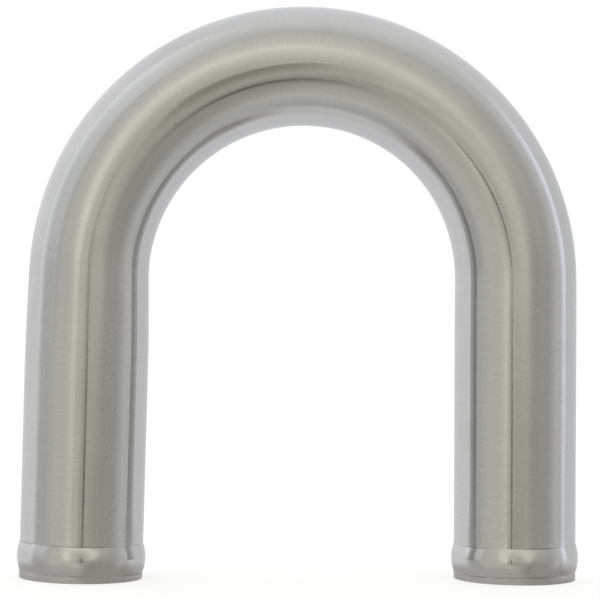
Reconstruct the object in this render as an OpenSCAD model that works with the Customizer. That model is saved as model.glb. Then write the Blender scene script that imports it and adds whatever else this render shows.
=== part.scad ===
// Return bend: one length of round tube bent back on itself, with a hose
// bead rolled into the wall near each open end. The legs open out a little
// from parallel, as a bent tube does when it springs back, and both open
// ends are cut flush with the base plane, z = 0, so the part stands on them.

/* [Tube] */
// Outside diameter of the tube
tube_od = 50.8; // [30:0.1:100]
// Wall thickness of the tube
wall = 1.65; // [0.8:0.05:3]

/* [Bend] */
// Radius of the bend, to the centreline of the tube
bend_radius = 88.9; // [70:0.1:200]
// Angle that each leg leans out from parallel
leg_splay = 0.8; // [0:0.1:4]

/* [Legs] */
// Straight length of each leg, along its axis from the bend to the open end
leg_length = 124.5; // [60:0.5:300]

/* [Hose bead] */
// Plain straight lip between the open end and the bead
lip_length = 3; // [2:0.1:20]
// Length of the bead along the tube, measured across its raised arc
bead_length = 11.8; // [8:0.1:20]
// Height of the bead above the tube
bead_height = 1.1; // [0.5:0.1:2.5]
// Radius of the hollow blend at each foot of the bead, on the outside
bead_blend = 1; // [0.4:0.1:4]

/* [Hidden] */
$fn = 96;

tube_r = tube_od / 2;

// The bead's raised arc is a circle in section, found from its length and height
bead_arc_r = (pow(bead_length / 2, 2) + pow(bead_height, 2)) / (2 * bead_height);
bead_arc_x = tube_r + bead_height - bead_arc_r;
// Half the bead's length with its blends, where the blend circle meets the tube
bead_half = sqrt(2 * (bead_arc_r + bead_blend) * bead_height - pow(bead_height, 2));
bead_z = lip_length + bead_half;

// Height of the bend's centre, so that the legs reach the base plane
bend_z = leg_length * cos(leg_splay) - bend_radius * sin(leg_splay);

// Extra tube below the base plane, which the flush cut takes off
overrun = 1;
end_stock = tube_r * tan(leg_splay) + overrun;
cut_size = 4 * (bend_radius + leg_length + tube_od);

// Section of one bead beside the tube's axis, inset from the outer skin by
// the given depth, so the same drawing gives the crest and the groove behind it
module bead_section(inset) {
    r = tube_r - inset;
    arc_r = bead_arc_r - inset;
    blend_r = bead_blend + inset;
    blend_centre = [r + blend_r, bead_half];
    reach = arc_r / (arc_r + blend_r);
    touch = [bead_arc_x + (blend_centre.x - bead_arc_x) * reach, bead_half * reach];

    intersection() {
        translate([bead_arc_x, 0]) circle(arc_r);
        translate([0, -touch.y]) square([bead_arc_x + arc_r, 2 * touch.y]);
    }
    for (side = [0, 1])
        mirror([0, side])
            difference() {
                polygon([[0, touch.y], touch, blend_centre, [0, bead_half]]);
                translate(blend_centre) circle(blend_r);
            }
}

// Solid leg on its own axis, open end at z = 0 and bend end at the top
module leg_body(inset, stock) {
    rotate_extrude() {
        translate([0, -stock]) square([tube_r - inset, leg_length + stock]);
        translate([0, bead_z]) bead_section(inset);
    }
}

// Solid bend in the XZ plane, centred on the origin
module bend_body(inset) {
    rotate([90, 0, 0])
        rotate([0, 0, leg_splay])
            rotate_extrude(angle = 180 - 2 * leg_splay)
                translate([bend_radius, 0]) circle(tube_r - inset);
}

// Bend with a leg on each end of it, inset from the outer skin
module tube_body(inset, stock) {
    translate([0, 0, bend_z]) {
        bend_body(inset);
        for (side = [0, 1])
            mirror([side, 0, 0])
                rotate([0, -leg_splay, 0])
                    translate([bend_radius, 0, -leg_length])
                        leg_body(inset, stock);
    }
}

// Everything below the base plane
module flush_cut() {
    translate([-cut_size / 2, -cut_size / 2, -cut_size]) cube(cut_size);
}

module bent_tube() {
    color([0.72, 0.72, 0.7])
        difference() {
            tube_body(0, end_stock);
            tube_body(wall, end_stock + overrun);
            flush_cut();
        }
}

bent_tube();
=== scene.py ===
import bpy, math
from mathutils import Matrix, Vector


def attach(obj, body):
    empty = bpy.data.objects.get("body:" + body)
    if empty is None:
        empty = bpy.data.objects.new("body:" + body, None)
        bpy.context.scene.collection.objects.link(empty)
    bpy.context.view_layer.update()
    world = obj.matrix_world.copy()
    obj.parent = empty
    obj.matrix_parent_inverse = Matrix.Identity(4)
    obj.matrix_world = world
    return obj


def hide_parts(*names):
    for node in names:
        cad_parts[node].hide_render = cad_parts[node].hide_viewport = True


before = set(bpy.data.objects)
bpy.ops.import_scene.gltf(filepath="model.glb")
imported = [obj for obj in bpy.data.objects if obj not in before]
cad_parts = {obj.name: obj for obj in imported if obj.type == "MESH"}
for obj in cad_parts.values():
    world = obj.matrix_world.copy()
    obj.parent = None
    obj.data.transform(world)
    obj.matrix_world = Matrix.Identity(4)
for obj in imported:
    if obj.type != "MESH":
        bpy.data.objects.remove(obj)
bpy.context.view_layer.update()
scene = bpy.context.scene
scene.view_settings.view_transform = "Standard"
print("frame loaded, nodes:", sorted(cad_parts))


# camera, fitted to the outline in the photograph
cameraSetup = {
    "aim": (-0.0014, 0.0, 0.11549),  # point the lens looks at
    "distance": 1.5,
    "yaw": 6.332,  # degrees, turned to the right
    "pitch": -2.185,  # degrees, looking down a little
    "roll": 0.916,  # degrees
    "lens": 217.33,  # mm
    "sensor": 36.0,  # mm
    "clipEnd": 50.0,
}


def placeCamera(setup):
    yaw = math.radians(setup["yaw"])
    pitch = math.radians(setup["pitch"])
    forward = Vector((math.sin(yaw) * math.cos(pitch), math.cos(yaw) * math.cos(pitch), math.sin(pitch)))
    bpy.ops.object.camera_add(location=Vector(setup["aim"]) - forward * setup["distance"])
    camera = bpy.context.object
    camera.name = "photoCamera"
    camera.rotation_mode = "QUATERNION"
    roll = Matrix.Rotation(math.radians(setup["roll"]), 3, "Z").to_quaternion()
    camera.rotation_quaternion = forward.to_track_quat("-Z", "Y") @ roll
    camera.data.sensor_width = setup["sensor"]
    camera.data.lens = setup["lens"]
    camera.data.clip_end = setup["clipEnd"]
    scene.camera = camera


placeCamera(cameraSetup)
print("camera placed")


# the tube is drawn straight with its rolled beads, then bent round; lengths are in metres
tubeSizes = {
    "outerRadius": 0.0254,
    "wall": 0.00165,
    "bendRadius": 0.0889,
    "splay": 0.8,  # degrees each leg leans out
    "legLength": 0.1245,
    "lip": 0.003,
    "beadLength": 0.0118,
    "beadHeight": 0.0011,
    "beadBlend": 0.0004,
    "flatten": 0.032,  # share of its height the bend loses in its own plane
    "flattenSkew": 0.012,  # added to that at the left end and taken off at the right end
    "flattenLead": (0.0355, 0.026),  # how far down the left and the right leg it starts
    "flattenRun": (0.055, 0.11),  # length over which it comes on, left and right
    "around": 144,
    "bendSteps": 96,
    "crestSteps": 10,  # rings from the middle of a bead to its blend
    "footSteps": 4,  # rings across the blend
    "legStep": 0.006,
    "stock": 0.0015,  # extra length that the flush cut takes off
    "rimBreak": 0.00025,
    "rimSegments": 2,
    "smoothAngle": 35,  # degrees
}
sameScale = 1e-9
mergeGap = 1e-7
floorGap = 1e-6
cutGap = 0.0001  # the wall's inner edge ends up this near the floor


def beadShape(sizes):
    # radius of the raised arc, half the bead's length, and where the arc meets its blend
    height, blend = sizes["beadHeight"], sizes["beadBlend"]
    arcR = ((sizes["beadLength"] / 2) ** 2 + height**2) / (2 * height)
    half = math.sqrt(2 * (arcR + blend) * height - height**2)
    return arcR, half, half * arcR / (arcR + blend)


def beadRadius(fromCentre, sizes):
    # radius of the tube at a distance from the middle of the bead
    arcR, half, touch = beadShape(sizes)
    tubeR, blend = sizes["outerRadius"], sizes["beadBlend"]
    u = abs(fromCentre)
    if u <= touch:
        return tubeR + sizes["beadHeight"] - arcR + math.sqrt(arcR**2 - u**2)
    if u < half:
        return tubeR + blend - math.sqrt(blend**2 - (half - u) ** 2)
    return tubeR


def beadStations(sizes):
    # places along the bead where a ring is needed, measured from its middle
    half, touch = beadShape(sizes)[1:]
    crestSteps, footSteps = sizes["crestSteps"], sizes["footSteps"]
    crest = [touch * k / crestSteps for k in range(-crestSteps, crestSteps + 1)]
    foot = [touch + (half - touch) * k / footSteps for k in range(1, footSteps + 1)]
    return [-f for f in reversed(foot)] + crest + foot


def smooth(x):
    x = min(max(x, 0.0), 1.0)
    return x * x * (3 - 2 * x)


def ringPlan(sizes):
    # place along the straight tube, radius, and height factor in the bend's plane, for every ring
    bendLength = sizes["bendRadius"] * (math.pi - 2 * math.radians(sizes["splay"]))
    total = bendLength + 2 * sizes["legLength"]
    beadAt = sizes["lip"] + beadShape(sizes)[1]
    leg = [-sizes["stock"], 0.0, sizes["lip"] / 2] + [beadAt + u for u in beadStations(sizes)]
    legTop = leg[-1]
    reach = sizes["legLength"] - legTop
    count = max(2, round(reach / sizes["legStep"]))
    leg += [legTop + reach * k / count for k in range(1, count + 1)]
    bendSteps = sizes["bendSteps"]
    bend = [sizes["legLength"] + bendLength * k / bendSteps for k in range(1, bendSteps)]
    plan = []
    for s in leg + bend + [total - s for s in reversed(leg)]:
        end = min(s, total - s)
        side = 0 if s < total / 2 else 1
        depth = sizes["flatten"] + sizes["flattenSkew"] * (1 - 2 * s / total)
        start = sizes["legLength"] - sizes["flattenLead"][side]
        drop = depth * smooth((end - start) / sizes["flattenRun"][side])
        plan.append((s - total / 2, beadRadius(end - beadAt, sizes), 1.0 - drop))
    return plan, total, bendLength


def drawStraightTube(sizes):
    plan, total, bendLength = ringPlan(sizes)
    bpy.ops.object.select_all(action="DESELECT")
    x, radius, height = plan[0]
    bpy.ops.mesh.primitive_circle_add(vertices=sizes["around"], radius=radius, fill_type="NOTHING",
                                      location=(x, 0, 0), rotation=(0, math.pi / 2, 0))
    tube = bpy.context.object
    tube.name = "bentTube"
    bpy.ops.object.transform_apply(location=True, rotation=True, scale=True)
    bpy.ops.object.mode_set(mode="EDIT")
    bpy.ops.mesh.select_all(action="SELECT")
    for nextX, nextRadius, nextHeight in plan[1:]:
        bpy.ops.mesh.extrude_region_move(TRANSFORM_OT_translate={"value": (nextX - x, 0, 0)})
        scaleZ = nextRadius / radius
        scaleY = scaleZ * nextHeight / height
        if abs(scaleZ - 1) > sameScale or abs(scaleY - 1) > sameScale:
            bpy.ops.transform.resize(value=(1, scaleY, scaleZ), center_override=(nextX, 0, 0))
        x, radius, height = nextX, nextRadius, nextHeight
    bpy.ops.mesh.select_all(action="SELECT")
    bpy.ops.mesh.remove_doubles(threshold=mergeGap)
    bpy.ops.mesh.normals_make_consistent(inside=False)
    bpy.ops.object.mode_set(mode="OBJECT")
    face = tube.data.polygons[len(tube.data.polygons) // 2]
    if face.normal.dot(Vector((0, face.center.y, face.center.z))) < 0:
        tube.data.flip_normals()
    return tube, total, bendLength


def keepStraightCoordinates(tube, total):
    # the straight tube's own coordinates stay with the surface, for grain that follows the bend
    mesh = tube.data
    straight = mesh.attributes.new("tubeCoord", "FLOAT_VECTOR", "POINT")
    straight.data.foreach_set("vector", [c for v in mesh.vertices for c in v.co])
    uvMap = mesh.uv_layers.new(name="tubeUv")
    for face in mesh.polygons:
        middle = math.atan2(face.center.z, face.center.y)
        for loop in face.loop_indices:
            co = mesh.vertices[mesh.loops[loop].vertex_index].co
            turn = math.atan2(co.z, co.y)
            if turn - middle > math.pi:
                turn -= 2 * math.pi
            elif middle - turn > math.pi:
                turn += 2 * math.pi
            uvMap.data[loop].uv = (co.x / total + 0.5, turn / (2 * math.pi) + 0.5)


def bendTube(tube, sizes, total, bendLength):
    splay = math.radians(sizes["splay"])
    bentShare = bendLength / (total + 2 * sizes["stock"])
    bpy.ops.object.select_all(action="DESELECT")
    tube.select_set(True)
    bpy.context.view_layer.objects.active = tube
    former = tube.modifiers.new("bendFormer", "SIMPLE_DEFORM")
    former.deform_method = "BEND"
    former.deform_axis = "Z"
    former.angle = math.pi - 2 * splay
    former.limits = (0.5 - bentShare / 2, 0.5 + bentShare / 2)
    bpy.ops.object.modifier_apply(modifier=former.name)
    centreZ = sizes["legLength"] * math.cos(splay) - sizes["bendRadius"] * math.sin(splay)
    tube.rotation_euler = (-math.pi / 2, 0, 0)
    tube.location = (0, 0, centreZ + sizes["bendRadius"])
    bpy.ops.object.transform_apply(location=True, rotation=True, scale=True)


def cutEnds():
    # flush with the floor
    bpy.ops.object.mode_set(mode="EDIT")
    bpy.ops.mesh.select_all(action="SELECT")
    bpy.ops.mesh.bisect(plane_co=(0, 0, 0), plane_no=(0, 0, 1), clear_inner=True, use_fill=False)
    bpy.ops.object.mode_set(mode="OBJECT")


def clearSelection(kind):
    # nothing stays selected, so that vertices or edges can be picked in code
    bpy.ops.object.mode_set(mode="EDIT")
    bpy.ops.mesh.select_mode(type=kind)
    bpy.ops.mesh.select_all(action="DESELECT")
    bpy.ops.object.mode_set(mode="OBJECT")


def addWall(tube, sizes):
    # thickness goes inwards; the bore gets the second finish and the rims the third
    wall = tube.modifiers.new("tubeWall", "SOLIDIFY")
    wall.thickness = sizes["wall"]
    wall.offset = -1.0
    wall.use_even_offset = True
    wall.material_offset = 1
    wall.material_offset_rim = 2
    bpy.ops.object.modifier_apply(modifier=wall.name)
    clearSelection("VERT")
    for v in tube.data.vertices:
        v.select = v.co.z < cutGap
    bpy.ops.object.mode_set(mode="EDIT")
    bpy.ops.transform.resize(value=(1, 1, 0), center_override=(0, 0, 0))
    bpy.ops.object.mode_set(mode="OBJECT")


def breakRims(tube, sizes):
    # the edges that run round each rim are picked, not those across the wall
    clearSelection("EDGE")
    endX = max(v.co.x for v in tube.data.vertices if v.co.z < floorGap) - sizes["outerRadius"]
    for e in tube.data.edges:
        a, b = (tube.data.vertices[i].co for i in e.vertices)
        if a.z > floorGap or b.z > floorGap:
            continue
        axis = Vector((math.copysign(endX, a.x), 0, 0))
        e.select = abs((a - axis).length - (b - axis).length) < sizes["wall"] / 2
    bpy.ops.object.mode_set(mode="EDIT")
    bpy.ops.mesh.bevel(offset=sizes["rimBreak"], segments=sizes["rimSegments"], affect="EDGES")
    bpy.ops.object.mode_set(mode="OBJECT")
    bpy.ops.object.shade_smooth_by_angle(angle=math.radians(sizes["smoothAngle"]))


bentTube, tubeTotal, tubeBendLength = drawStraightTube(tubeSizes)
keepStraightCoordinates(bentTube, tubeTotal)
print("straight tube drawn:", len(bentTube.data.polygons), "faces")
bendTube(bentTube, tubeSizes, tubeTotal, tubeBendLength)
cutEnds()
addWall(bentTube, tubeSizes)
breakRims(bentTube, tubeSizes)
print("tube bent and cut:", len(bentTube.data.polygons), "faces")


# node helpers for the finishes and the light
def addNode(tree, kind, inputs=(), **settings):
    node = tree.nodes.new(kind)
    for name, value in settings.items():
        setattr(node, name, value)
    for key, value in dict(inputs).items():
        plug(tree, value, node.inputs[key])
    return node


def plug(tree, value, socket):
    # a socket is linked, a plain value is set
    if isinstance(value, bpy.types.NodeSocket):
        tree.links.new(value, socket)
    elif socket.type == "RGBA" and len(value) == 3:
        socket.default_value = (*value, 1.0)
    else:
        socket.default_value = value


def calc(tree, operation, *values):
    return addNode(tree, "ShaderNodeMath", dict(enumerate(values)), operation=operation).outputs[0]


def times(tree, *values):
    product = values[0]
    for value in values[1:]:
        product = calc(tree, "MULTIPLY", product, value)
    return product


def ease(tree, value, low, high, toLow=0.0, toHigh=1.0, kind="SMOOTHSTEP"):
    places = {"Value": value, "From Min": low, "From Max": high, "To Min": toLow, "To Max": toHigh}
    return addNode(tree, "ShaderNodeMapRange", places, interpolation_type=kind).outputs["Result"]


def fall(tree, value, low, high):
    return ease(tree, value, low, high, 1.0, 0.0)


def window(tree, value, low, lowFull, highFull, high):
    # rises from low to lowFull and falls again from highFull to high
    return times(tree, ease(tree, value, low, lowFull), fall(tree, value, highFull, high))


def blendColour(tree, factor, first, second):
    # a Mix node has its colour sockets in these places
    node = addNode(tree, "ShaderNodeMix", data_type="RGBA", blend_type="MIX")
    for place, value in ((0, factor), (6, first), (7, second)):
        plug(tree, value, node.inputs[place])
    return node.outputs[2]


def scaleColour(tree, colour, factor):
    node = addNode(tree, "ShaderNodeVectorMath", {0: colour, "Scale": factor}, operation="SCALE")
    return node.outputs[0]


def splitXYZ(tree, vector):
    return addNode(tree, "ShaderNodeSeparateXYZ", {0: vector}).outputs


def noise(tree, place, scale, detail):
    return addNode(tree, "ShaderNodeTexNoise", {"Vector": place, "Scale": scale, "Detail": detail}).outputs[0]


def rampByAngle(tree, angle, stops):
    # colours by an angle from 0 to 180 degrees
    node = addNode(tree, "ShaderNodeValToRGB", {"Fac": calc(tree, "DIVIDE", angle, 180.0)})
    row = node.color_ramp.elements
    while len(row) > 1:
        row.remove(row[-1])
    for k, (degrees, colour) in enumerate(stops):
        stop = row[0] if k == 0 else row.new(degrees / 180.0)
        stop.position = degrees / 180.0
        stop.color = (*colour, 1.0)
    return node.outputs["Color"]


def startGroup(name, inputs, outputs):
    group = bpy.data.node_groups.new(name, "ShaderNodeTree")
    for way, sockets in (("INPUT", inputs), ("OUTPUT", outputs)):
        for socket in sockets:
            group.interface.new_socket(socket, in_out=way, socket_type="NodeSocketFloat")
    return group, group.nodes.new("NodeGroupInput").outputs


def endGroup(group, results):
    output = group.nodes.new("NodeGroupOutput")
    for name, value in results.items():
        group.links.new(value, output.inputs[name])


def startMaterial(name):
    material = bpy.data.materials.new(name)
    material.use_nodes = True
    material.node_tree.nodes.clear()
    return material, material.node_tree


def endMaterial(tree, shader):
    output = tree.nodes.new("ShaderNodeOutputMaterial")
    tree.links.new(shader.outputs[0], output.inputs["Surface"])


# lines left by polishing or drawing, shared by the three finishes
hairlineLook = {
    "fineShare": 0.7,
    "fineDetail": 3.0,
    "wideDetail": 1.0,
    "wider": 3.1,  # pitch of the wide lines over that of the fine ones
    "toneRange": (0.3, 0.7),
    "bendTone": 0.72,  # contrast round the bend, where the lines are quieter
    "bendEnds": (0.10, 0.15),  # metres from the middle of the tube
    "cloudScale": 38.0,
    "cloudDetail": 3.0,
}
cloudRange = (0.35, 0.65)  # stretch of the cloud that carries a finish from its low to its high roughness


def makeHairlineGrain(look):
    # the pitch along and around the tube is given in metres
    group, given = startGroup("hairlineGrain", ("Pitch Along", "Pitch Around"), ("Height", "Tone", "Cloud"))
    place = addNode(group, "ShaderNodeAttribute", attribute_name="tubeCoord").outputs["Vector"]
    x, y, z = splitXYZ(group, place)

    def lines(wider, detail):
        pitchAlong = times(group, given["Pitch Along"], wider)
        pitchAround = times(group, given["Pitch Around"], wider)
        pairs = ((x, pitchAlong), (y, pitchAround), (z, pitchAround))
        parts = [calc(group, "DIVIDE", value, pitch) for value, pitch in pairs]
        vector = addNode(group, "ShaderNodeCombineXYZ", dict(enumerate(parts))).outputs[0]
        return noise(group, vector, 1.0, detail)

    fine = times(group, lines(1.0, look["fineDetail"]), look["fineShare"])
    wide = times(group, lines(look["wider"], look["wideDetail"]), 1.0 - look["fineShare"])
    height = calc(group, "ADD", fine, wide)
    contrast = ease(group, height, *look["toneRange"], -0.5, 0.5, kind="LINEAR")
    calm = ease(group, calc(group, "ABSOLUTE", x), *look["bendEnds"], look["bendTone"], 1.0)
    tone = calc(group, "ADD", times(group, contrast, calm), 0.5)
    cloud = noise(group, place, look["cloudScale"], look["cloudDetail"])
    endGroup(group, {"Height": height, "Tone": tone, "Cloud": cloud})
    return group


hairlineGrain = makeHairlineGrain(hairlineLook)


# small pits and dashes, handling blotches, and painted shade in the creases of the beads
wearAndCreaseShadeLook = {
    "patchX": (-0.0855, -0.0825, -0.079, -0.076),  # the pitted patch on the front of the left leg
    "patchY": (-0.02, -0.015),
    "patchZ": (0.016, 0.02, 0.10, 0.13),
    "cleanShare": (0.998, 0.4),  # of the cells, elsewhere and on the patch
    "pitSlant": 0.3,
    "pitSquash": 2.0,
    "backShift": 3.0,  # the back has its own pits
    "pitSizes": (0.5, 1.2),
    "pitEdge": (0.2, 1.2),
    "pitStrength": (0.15, 1.0),
    "blotchScale": 55.0,
    "blotchDetail": 2.0,
    "blotchRange": (0.52, 0.70),
    # painted shade: a thin dark line along each crease of the beads
    "creaseShadeEdge": (0.3, 1.0),
    "creaseShadeScale": 70.0,  # the painted crease shade is patchy
    "creaseShadeDetail": 4.0,
    "creaseShadeRange": (0.38, 0.60),
}


def pitMarks(group, given, place, look):
    x, y, z = splitXYZ(group, place)
    behind = times(group, calc(group, "GREATER_THAN", y, 0.0), look["backShift"])
    slant = calc(group, "ADD", calc(group, "ADD", x, behind), times(group, z, look["pitSlant"]))
    squashed = times(group, z, look["pitSquash"])
    flat = addNode(group, "ShaderNodeCombineXYZ", {0: slant, 1: squashed}).outputs[0]
    scale = calc(group, "DIVIDE", 1.0, given["Pit Spacing"])
    cells = addNode(group, "ShaderNodeTexVoronoi", {"Vector": flat, "Scale": scale}, voronoi_dimensions="2D")
    chance, stretch, spare = addNode(group, "ShaderNodeSeparateColor", {0: cells.outputs["Color"]}).outputs
    size = calc(group, "DIVIDE", given["Pit Size"], given["Pit Spacing"])
    size = times(group, size, ease(group, stretch, 0.0, 1.0, *look["pitSizes"], kind="LINEAR"))
    dot = fall(group, calc(group, "DIVIDE", cells.outputs["Distance"], size), *look["pitEdge"])
    patch = times(group, window(group, x, *look["patchX"]), window(group, z, *look["patchZ"]),
                  fall(group, y, *look["patchY"]))
    limit = ease(group, patch, 0.0, 1.0, *look["cleanShare"], kind="LINEAR")
    strength = ease(group, spare, 0.0, 1.0, *look["pitStrength"])
    return times(group, dot, calc(group, "GREATER_THAN", chance, limit), strength)


# painted shade: a thin, patchy dark line along each crease of the beads, standing in for the shade there
def paintedCreaseShade(group, given, place, look):
    tubeCoord = addNode(group, "ShaderNodeAttribute", attribute_name="tubeCoord").outputs["Vector"]
    fromMiddle = calc(group, "ABSOLUTE", splitXYZ(group, tubeCoord)["X"])
    low, high = (calc(group, "ABSOLUTE", calc(group, "SUBTRACT", fromMiddle, given[name]))
                 for name in ("Low Crease", "High Crease"))
    apart = calc(group, "DIVIDE", calc(group, "MINIMUM", low, high), given["Crease Shade Width"])
    patchy = noise(group, place, look["creaseShadeScale"], look["creaseShadeDetail"])
    return times(group, fall(group, apart, *look["creaseShadeEdge"]), ease(group, patchy, *look["creaseShadeRange"]))


def makeWearAndCreaseShade(look):
    inputs = ("Pit Spacing", "Pit Size", "Low Crease", "High Crease", "Crease Shade Width")
    group, given = startGroup("wearAndCreaseShade", inputs, ("Pits", "Blotch", "Crease Shade"))
    place = addNode(group, "ShaderNodeTexCoord").outputs["Object"]
    cloud = noise(group, place, look["blotchScale"], look["blotchDetail"])
    endGroup(group, {
        "Pits": pitMarks(group, given, place, look),
        "Blotch": ease(group, cloud, *look["blotchRange"]),
        "Crease Shade": paintedCreaseShade(group, given, place, look),
    })
    return group


wearAndCreaseShade = makeWearAndCreaseShade(wearAndCreaseShadeLook)


def startMetal(name):
    material, tree = startMaterial(name)
    shader = addNode(tree, "ShaderNodeBsdfPrincipled", {"Metallic": 1.0})
    endMaterial(tree, shader)
    return material, tree, shader


def addGrain(tree, along, around):
    pitch = {"Pitch Along": along, "Pitch Around": around}
    grain = addNode(tree, "ShaderNodeGroup", pitch, node_tree=hairlineGrain)
    return [grain.outputs[name] for name in ("Height", "Tone", "Cloud")]


def dressMetal(tree, shader, values, colour, height, cloud):
    tree.links.new(colour, shader.inputs["Base Color"])
    tree.links.new(ease(tree, cloud, *cloudRange, *values["roughness"]), shader.inputs["Roughness"])
    bump = addNode(tree, "ShaderNodeBump", {"Height": height, "Distance": values["grainDepth"]})
    tree.links.new(bump.outputs[0], shader.inputs["Normal"])


steelFinish = {
    "dark": (0.602, 0.601, 0.595),
    "light": (0.660, 0.661, 0.657),
    "roughness": (0.11, 0.13),
    "anisotropic": 0.9,
    "grain": (0.00045, 0.0022),  # pitch of the polish lines along and around the tube
    "grainDepth": 0.000003,
    "pitSpacing": 0.0036,
    "pitSize": 0.0007,
    "pitColour": (0.42, 0.415, 0.41),
    "blotchColour": (0.60, 0.598, 0.592),
    "blotchStrength": 0.6,
    "creaseShadeColour": (0.46, 0.45, 0.44),
    # painted shade in the creases of the beads
    "creaseShadeWidth": 0.0006,
}


def makeSatinSteel(values, sizes, total):
    material, tree, shader = startMetal("satinSteel")
    height, tone, cloud = addGrain(tree, *values["grain"])
    lowCrease = total / 2 - sizes["lip"]
    marksAndShade = addNode(tree, "ShaderNodeGroup", {
        "Pit Spacing": values["pitSpacing"],
        "Pit Size": values["pitSize"],
        "Low Crease": lowCrease,
        "High Crease": lowCrease - 2 * beadShape(sizes)[1],
        "Crease Shade Width": values["creaseShadeWidth"],
    }, node_tree=wearAndCreaseShade).outputs
    colour = blendColour(tree, tone, values["dark"], values["light"])
    blotch = times(tree, marksAndShade["Blotch"], values["blotchStrength"])
    colour = blendColour(tree, blotch, colour, values["blotchColour"])
    colour = blendColour(tree, marksAndShade["Pits"], colour, values["pitColour"])
    # painted shade darkens the colour along the creases of the beads
    colour = blendColour(tree, marksAndShade["Crease Shade"], colour, values["creaseShadeColour"])
    dressMetal(tree, shader, values, colour, height, cloud)
    shader.inputs["Anisotropic"].default_value = values["anisotropic"]
    tangent = addNode(tree, "ShaderNodeTangent", direction_type="UV_MAP", uv_map="tubeUv")
    tree.links.new(tangent.outputs[0], shader.inputs["Tangent"])
    return material


boreFinish = {
    "dark": (0.40, 0.395, 0.385),
    "light": (0.52, 0.515, 0.50),
    "roughness": (0.30, 0.42),
    "grain": (0.03, 0.0007),  # drawing lines run along the bore
    "grainDepth": 0.00003,
}
rimFinish = {
    "dark": (0.55, 0.545, 0.535),
    "light": (0.68, 0.675, 0.665),
    "roughness": (0.22, 0.34),
    "grain": (0.0004, 0.0004),
    "grainDepth": 0.00003,
}


def makeWorkedSteel(name, values):
    material, tree, shader = startMetal(name)
    height, tone, cloud = addGrain(tree, *values["grain"])
    colour = blendColour(tree, tone, values["dark"], values["light"])
    dressMetal(tree, shader, values, colour, height, cloud)
    return material


bentTube.data.materials.append(makeSatinSteel(steelFinish, tubeSizes, tubeTotal))
bentTube.data.materials.append(makeWorkedSteel("millBore", boreFinish))
bentTube.data.materials.append(makeWorkedSteel("cutRim", rimFinish))
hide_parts("bent_tube")
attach(bentTube, "root")
print("finishes made")


# light tent: white to the camera, soft greys in the metal; angles are in degrees
# two numbers are where a light starts and is full, or is full and ends; four are a rise and a fall
tentLight = {
    "cameraAz": -6.4,  # direction from the part to the camera
    "cameraEl": 1.5,
    # brightness by the angle away from the camera, towards each side; from a fit to the photograph,
    # then changed
    "right": ((0, 0.35), (12, 0.47), (24, 0.51), (46, 0.53), (62, 0.465), (72, 0.515), (82, 0.625),
              (92, 0.51), (102, 0.685), (112, 0.73), (180, 0.70)),
    "up": ((0, 0.35), (14, 0.555), (24, 0.635), (30, 0.59), (46, 0.705), (58, 0.705), (70, 0.645),
           (94, 0.835), (180, 0.90)),
    "left": ((0, 0.35), (12, 0.63), (24, 0.63), (34, 0.60), (50, 0.615), (64, 0.565), (72, 0.465),
             (90, 0.48), (101, 0.755), (112, 0.82), (180, 0.76)),
    "down": ((0, 0.35), (14, 0.625), (22, 0.605), (38, 0.505), (58, 0.57), (62, 0.635), (67, 0.59),
             (76, 0.54), (84, 0.50), (94, 0.72), (104, 0.68), (112, 0.76), (180, 0.715)),
    # warm in front, cool behind
    "tint": ((0, (1.07, 1.03, 0.89)), (45, (1.05, 1.03, 0.925)), (70, (1.015, 1.01, 0.965)),
             (110, (1.0, 1.0, 1.0)), (150, (0.985, 0.99, 1.03))),
    "leftBox": {
        "away": (62.5, 70.5, 102, 108),
        "turn": (95, 130, 167, 195),
        "colour": (0.205, 0.215, 0.235),
    },
    "rightBox": {
        "away": (80.7, 103.2, 104.2, 108.2),
        "turn": (-14, 4, 20, 50),
        "colour": (0.36, 0.38, 0.48),
    },
    "leftBack": {"away": (100, 112), "turn": (118, 142, 165, 183), "light": 0.095},
    "halo": {
        "az": -6.75,
        "el": 14.0,
        "ring": (10.9, 25.8, 26.8, 30.7),
        "ringLight": 0.087,
        "glow": (26.3, 42.3),
        "glowLight": 0.148,
        "core": (5.26, 21.04),
        "coreLight": -0.135,
        "aboveFloor": (-7.5, 4.5),
    },
    "patchCore": 0.27,  # share of a patch's radius that has its full light
    "spot": {"az": -7.4, "el": 2.7, "radius": 10.9, "light": 0.171},
    "darkCorner": {"az": 29.9, "el": -19.4, "radius": 39, "light": -0.146},
    "lowGlow": {"az": -14.0, "el": -16.5, "radius": 11, "light": 0.13},
    "sidePanel": {
        "height": (-22, -8, 3, 13),
        "left": (-32.8, -31.2),
        "slant": (-6.0, -3.0),  # between these heights its left edge slants in towards the bottom
        "slantBy": 6.0,
        "right": (-7.8, 2.2),
        "light": -0.09,
        "rimEnd": (-24.5, -21.5),
        "rimFade": (-6.5, -2.0),
        "rimLow": 0.4,  # share of the rim's light left at the bottom
        "rimLight": 0.125,
    },
    "tableEdge": {
        "from": (0.0, -34.05),  # az and el of two points on the line
        "to": (59.95, 10.8),
        "below": (-6.3, -3.9, -0.8, 0.8),
        "az": (-3.2, 8.8, 14.0, 26.0),
        "light": -0.288,
    },
    "darkest": 0.02,
}
smallest = 1e-6  # keeps a division safe straight ahead


def direction(az, el):
    az, el = math.radians(az), math.radians(el)
    return Vector((math.sin(az) * math.cos(el), -math.cos(az) * math.cos(el), math.sin(el)))


def along(tree, ray, vector):
    node = addNode(tree, "ShaderNodeVectorMath", {0: ray, 1: tuple(vector)}, operation="DOT_PRODUCT")
    return node.outputs["Value"]


def inDegrees(tree, operation, *values):
    return calc(tree, "DEGREES", calc(tree, operation, *values))


def angleFrom(tree, ray, vector):
    cosine = calc(tree, "MINIMUM", calc(tree, "MAXIMUM", along(tree, ray, vector), -1.0), 1.0)
    return inDegrees(tree, "ARCCOSINE", cosine)


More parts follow.
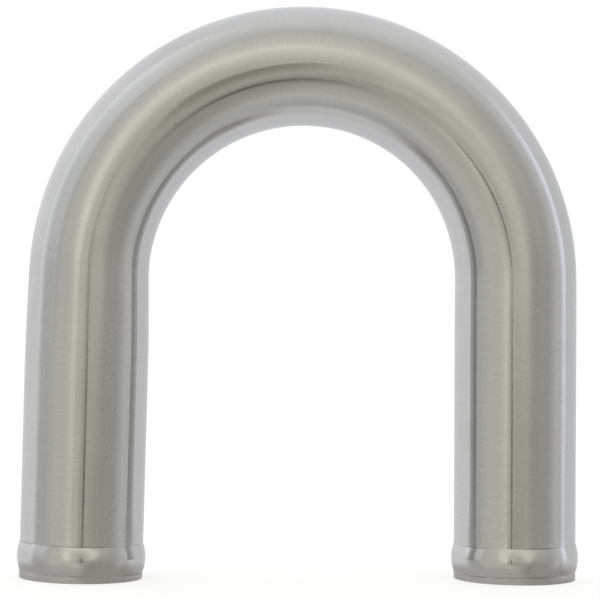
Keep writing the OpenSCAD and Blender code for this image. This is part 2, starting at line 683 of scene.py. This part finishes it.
def readSky(tree, tent):
    # where each ray goes, seen from the part
    ray = tree.nodes.new("ShaderNodeTexCoord").outputs["Generated"]
    front = direction(tent["cameraAz"], tent["cameraEl"])
    up = (Vector((0, 0, 1)) - front * front.z).normalized()
    sideways = along(tree, ray, up.cross(front))
    upwards = along(tree, ray, up)
    fromUp = inDegrees(tree, "ARCTAN2", times(tree, sideways, -1.0), upwards)
    return {
        "ray": ray,
        "sideways": sideways,
        "upwards": upwards,
        "away": angleFrom(tree, ray, front),
        "turn": calc(tree, "ADD", fromUp, 90.0),  # 0 right, 90 up, 180 left
        "az": inDegrees(tree, "ARCTAN2", along(tree, ray, (1, 0, 0)), along(tree, ray, (0, -1, 0))),
        "el": inDegrees(tree, "ARCSINE", along(tree, ray, (0, 0, 1))),
    }


def sideLayers(tree, sky, tent):
    # the tent's own brightness, blended between its four sides
    squares = [times(tree, sky[axis], sky[axis]) for axis in ("sideways", "upwards")]
    across = calc(tree, "MAXIMUM", calc(tree, "ADD", *squares), smallest)
    sides = (("right", "sideways", 1.0), ("left", "sideways", -1.0),
             ("up", "upwards", 1.0), ("down", "upwards", -1.0))
    layers = []
    for side, axis, sign in sides:
        part = calc(tree, "MAXIMUM", times(tree, sky[axis], sign), 0.0)
        share = calc(tree, "DIVIDE", times(tree, part, part), across)
        stops = [(degrees, (level,) * 3) for degrees, level in tent[side]]
        layers.append(times(tree, rampByAngle(tree, sky["away"], stops), share))
    return layers


def haloLayers(tree, sky, halo):
    # a soft ring of light above the camera, with a dimmer middle
    fromHalo = angleFrom(tree, sky["ray"], direction(halo["az"], halo["el"]))
    aboveFloor = ease(tree, sky["el"], *halo["aboveFloor"])
    return [
        times(tree, window(tree, fromHalo, *halo["ring"]), aboveFloor, halo["ringLight"]),
        times(tree, fall(tree, fromHalo, *halo["glow"]), aboveFloor, halo["glowLight"]),
        times(tree, fall(tree, fromHalo, *halo["core"]), halo["coreLight"]),
    ]


def patchLayer(tree, sky, patch, core):
    fromPatch = angleFrom(tree, sky["ray"], direction(patch["az"], patch["el"]))
    return times(tree, fall(tree, fromPatch, patch["radius"] * core, patch["radius"]), patch["light"])


def backLayer(tree, sky, back):
    # more light from behind on the upper left
    behind = ease(tree, sky["away"], *back["away"])
    return times(tree, behind, window(tree, sky["turn"], *back["turn"]), back["light"])


def panelLayers(tree, sky, panel):
    # a duller panel at leg height, with a paler rim on its left
    legHeight = window(tree, sky["el"], *panel["height"])
    slant = ease(tree, sky["el"], *panel["slant"], panel["slantBy"], 0.0)
    fromLeft = ease(tree, calc(tree, "SUBTRACT", sky["az"], slant), *panel["left"])
    rimFade = ease(tree, sky["el"], *panel["rimFade"], panel["rimLow"], 1.0)
    return [
        times(tree, fromLeft, fall(tree, sky["az"], *panel["right"]), legHeight, panel["light"]),
        times(tree, fromLeft, fall(tree, sky["az"], *panel["rimEnd"]), legHeight, rimFade, panel["rimLight"]),
    ]


def tableLayer(tree, sky, table):
    # the dark edge of the table, a slanting line below the camera
    normal = direction(*table["from"]).cross(direction(*table["to"])).normalized()
    if normal.z > 0:
        normal = -normal
    below = window(tree, inDegrees(tree, "ARCSINE", along(tree, sky["ray"], normal)), *table["below"])
    return times(tree, below, window(tree, sky["az"], *table["az"]), table["light"])


def makeWorld(tent):
    world = bpy.data.worlds.new("lightTent")
    scene.world = world
    world.use_nodes = True
    tree = world.node_tree
    tree.nodes.clear()
    sky = readSky(tree, tent)
    layers = sideLayers(tree, sky, tent)
    layers += haloLayers(tree, sky, tent["halo"])
    for name in ("spot", "darkCorner", "lowGlow"):
        layers.append(patchLayer(tree, sky, tent[name], tent["patchCore"]))
    layers.append(backLayer(tree, sky, tent["leftBack"]))
    layers += panelLayers(tree, sky, tent["sidePanel"])
    layers.append(tableLayer(tree, sky, tent["tableEdge"]))
    level = layers[0]
    for layer in layers[1:]:
        level = calc(tree, "ADD", level, layer)
    level = calc(tree, "MAXIMUM", level, tent["darkest"])
    colour = scaleColour(tree, rampByAngle(tree, sky["away"], tent["tint"]), level)

    # bright boxes at the two sides
    for box in (tent["leftBox"], tent["rightBox"]):
        mask = times(tree, window(tree, sky["away"], *box["away"]), window(tree, sky["turn"], *box["turn"]))
        light = scaleColour(tree, box["colour"], mask)
        colour = addNode(tree, "ShaderNodeVectorMath", {0: colour, 1: light}, operation="ADD").outputs[0]

    tentShade = addNode(tree, "ShaderNodeBackground", {"Color": colour, "Strength": 1.0})
    white = addNode(tree, "ShaderNodeBackground", {"Color": (1, 1, 1), "Strength": 1.0})
    seen = tree.nodes.new("ShaderNodeLightPath").outputs["Is Camera Ray"]
    mix = addNode(tree, "ShaderNodeMixShader", {0: seen, 1: tentShade.outputs[0], 2: white.outputs[0]})
    output = tree.nodes.new("ShaderNodeOutputWorld")
    tree.links.new(mix.outputs[0], output.inputs["Surface"])


makeWorld(tentLight)
print("light tent made")


# cards that only the metal sees; most darken what is behind them, and two add light to it
cardSetups = {
    # the slim line down both legs
    "legCard": {
        "x": -0.1186,
        "y": -0.771,
        "bottom": -0.083,
        "top": 0.075,
        "bottomHalf": 0.024,  # half width at the bottom and at the top
        "topHalf": 0.024,
        "soft": 0.005,  # softness of the sides, bottom and top
        "softBottom": 0.004,
        "softTop": 0.09,
        "lean": (0.0, 0.18, -0.047),  # from this height to that one it moves sideways this far
        "colour": (0.12, 0.122, 0.115),
    },
    # the same line, fainter, up the left of the bend
    "archLine": {
        "x": -0.1186,
        "y": -0.772,
        "bottom": 0.10,
        "top": 0.25,
        "bottomHalf": 0.017,
        "topHalf": 0.014,
        "soft": 0.005,
        "softBottom": 0.06,
        "softTop": 0.04,
        "lean": (0.0, 0.18, -0.047),
        "colour": (0.12, 0.122, 0.115),
        "strength": 0.3,
    },
    "legShade": {
        "x": -0.185,
        "y": -0.78,
        "bottom": -0.077,
        "top": 0.04,
        "bottomHalf": 0.045,
        "topHalf": 0.045,
        "soft": 0.03,
        "softBottom": 0.008,
        "softTop": 0.05,
        "colour": (0.2, 0.192, 0.167),
        "strength": 0.25,
    },
    "lowShade": {
        "x": 0.05,
        "y": -0.79,
        "bottom": -0.35,
        "top": 0.0,
        "bottomHalf": 0.16,
        "topHalf": 0.16,
        "soft": 0.03,
        "softBottom": 0.03,
        "softTop": 0.06,
        "colour": (0.2, 0.192, 0.167),
        "strength": 0.18,
    },
    "palePane": {
        "x": -0.005,
        "y": -0.95,
        "bottom": 0.055,
        "top": 0.20,
        "bottomHalf": 0.375,
        "topHalf": 0.375,
        "soft": 0.006,
        "softBottom": 0.025,
        "softTop": 0.06,
        "colour": (0.055, 0.053, 0.045),
        "adds": True,
    },
    "archGlow": {
        "x": 0.1,
        "y": -0.4,
        "bottom": 0.105,
        "top": 0.18,
        "bottomHalf": 0.07,
        "topHalf": 0.07,
        "soft": 0.06,
        "softBottom": 0.02,
        "softTop": 0.03,
        "colour": (0.12, 0.117, 0.105),
        "adds": True,
    },
    # the dull patch on the crown
    "crownCard": {
        "x": -0.0143,
        "y": -0.2163,
        "bottom": 0.177,
        "top": 0.2315,
        "bottomHalf": 0.041,
        "topHalf": 0.041,
        "soft": 0.008,
        "softBottom": 0.04,
        "softTop": 0.006,
        "colour": (0.307, 0.296, 0.255),
    },
}


def showInMetalOnly(thing):
    thing.visible_camera = False
    thing.visible_diffuse = False
    thing.visible_shadow = False


def makeCard(name, card):
    low = card["bottom"] - card["softBottom"]
    high = card["top"] + card["softTop"]
    leanFrom, leanTo, leanBy = card.get("lean", (0.0, 1.0, 0.0))
    widest = max(card["topHalf"], card["bottomHalf"]) + card["soft"] + abs(leanBy)
    bpy.ops.object.select_all(action="DESELECT")
    bpy.ops.mesh.primitive_plane_add(size=1.0, location=(0, 0, 0))
    plane = bpy.context.object
    plane.name = name
    plane.scale = (2 * widest, high - low, 1)
    plane.rotation_euler = (math.pi / 2, 0, 0)
    plane.location = (card["x"], card["y"], (low + high) / 2)
    bpy.ops.object.transform_apply(location=True, rotation=True, scale=True)
    material, tree = startMaterial(name + "Shade")
    place = splitXYZ(tree, tree.nodes.new("ShaderNodeTexCoord").outputs["Object"])
    x, z = place["X"], place["Z"]
    half = ease(tree, z, card["bottom"], card["top"], card["bottomHalf"], card["topHalf"], kind="LINEAR")
    middle = ease(tree, z, leanFrom, leanTo, card["x"], card["x"] + leanBy)
    pastSide = calc(tree, "SUBTRACT", calc(tree, "ABSOLUTE", calc(tree, "SUBTRACT", x, middle)), half)
    tall = window(tree, z, low, card["bottom"] + card["softBottom"], card["top"] - card["softTop"], high)
    mask = times(tree, fall(tree, pastSide, -card["soft"], card["soft"]), tall, card.get("strength", 1.0))
    shade = addNode(tree, "ShaderNodeEmission", {"Color": card["colour"]})
    clear = tree.nodes.new("ShaderNodeBsdfTransparent")
    if card.get("adds"):
        tree.links.new(mask, shade.inputs["Strength"])
        both = addNode(tree, "ShaderNodeAddShader", {0: clear.outputs[0], 1: shade.outputs[0]})
    else:
        both = addNode(tree, "ShaderNodeMixShader", {0: mask, 1: clear.outputs[0], 2: shade.outputs[0]})
    endMaterial(tree, both)
    plane.data.materials.append(material)
    showInMetalOnly(plane)


for cardName, cardSetup in cardSetups.items():
    makeCard(cardName, cardSetup)


# the dim ring of table that each foot sees around itself
footShade = {
    "x": 0.0907,
    "full": 0.03,
    "end": 0.062,
    "height": 0.0002,
    "corners": 64,
    "light": (0.51, 0.50, 0.475),
    "dark": (0.40, 0.39, 0.365),  # in front and to the right
    "darkTurn": (-8.0, 4.0, 53.0, 83.0),  # degrees from the front
}


def makeFootShade(name, side, look):
    centre = (side * look["x"], 0, look["height"])
    bpy.ops.object.select_all(action="DESELECT")
    bpy.ops.mesh.primitive_circle_add(vertices=look["corners"], radius=look["end"], fill_type="NGON",
                                      location=centre)
    disc = bpy.context.object
    disc.name = name
    bpy.ops.object.transform_apply(location=True, rotation=True, scale=True)
    material, tree = startMaterial(name + "Shade")
    place = tree.nodes.new("ShaderNodeTexCoord").outputs["Object"]
    away = addNode(tree, "ShaderNodeVectorMath", {0: place, 1: centre}, operation="DISTANCE").outputs["Value"]
    axes = splitXYZ(tree, place)
    rightwards = calc(tree, "SUBTRACT", axes["X"], centre[0])
    fromFront = inDegrees(tree, "ARCTAN2", rightwards, times(tree, axes["Y"], -1.0))
    colour = blendColour(tree, window(tree, fromFront, *look["darkTurn"]), look["light"], look["dark"])
    shade = addNode(tree, "ShaderNodeEmission", {"Color": colour})
    clear = tree.nodes.new("ShaderNodeBsdfTransparent")
    mask = fall(tree, away, look["full"], look["end"])
    both = addNode(tree, "ShaderNodeMixShader", {0: mask, 1: clear.outputs[0], 2: shade.outputs[0]})
    endMaterial(tree, both)
    disc.data.materials.append(material)
    showInMetalOnly(disc)


for discName, discSide in (("leftFootShade", -1), ("rightFootShade", 1)):
    makeFootShade(discName, discSide, footShade)


floorLook = {"size": 12.0, "diffuse": 0.5, "lift": 0.66}  # lift is light that only the camera sees


def makeFloor(look):
    bpy.ops.object.select_all(action="DESELECT")
    bpy.ops.mesh.primitive_plane_add(size=look["size"], location=(0, 0, 0))
    floor = bpy.context.object
    floor.name = "studioFloor"
    material, tree = startMaterial("paleFloor")
    matt = addNode(tree, "ShaderNodeBsdfDiffuse", {"Color": (look["diffuse"],) * 3})
    seen = tree.nodes.new("ShaderNodeLightPath").outputs["Is Camera Ray"]
    strength = times(tree, seen, look["lift"])
    lift = addNode(tree, "ShaderNodeEmission", {"Color": (1, 1, 1), "Strength": strength})
    both = addNode(tree, "ShaderNodeAddShader", {0: matt.outputs[0], 1: lift.outputs[0]})
    clear = tree.nodes.new("ShaderNodeBsdfTransparent")
    side = tree.nodes.new("ShaderNodeNewGeometry").outputs["Backfacing"]
    oneSided = addNode(tree, "ShaderNodeMixShader", {0: side, 1: both.outputs[0], 2: clear.outputs[0]})
    endMaterial(tree, oneSided)
    floor.data.materials.append(material)
    floor.visible_glossy = False


makeFloor(floorLook)
print("studio made")
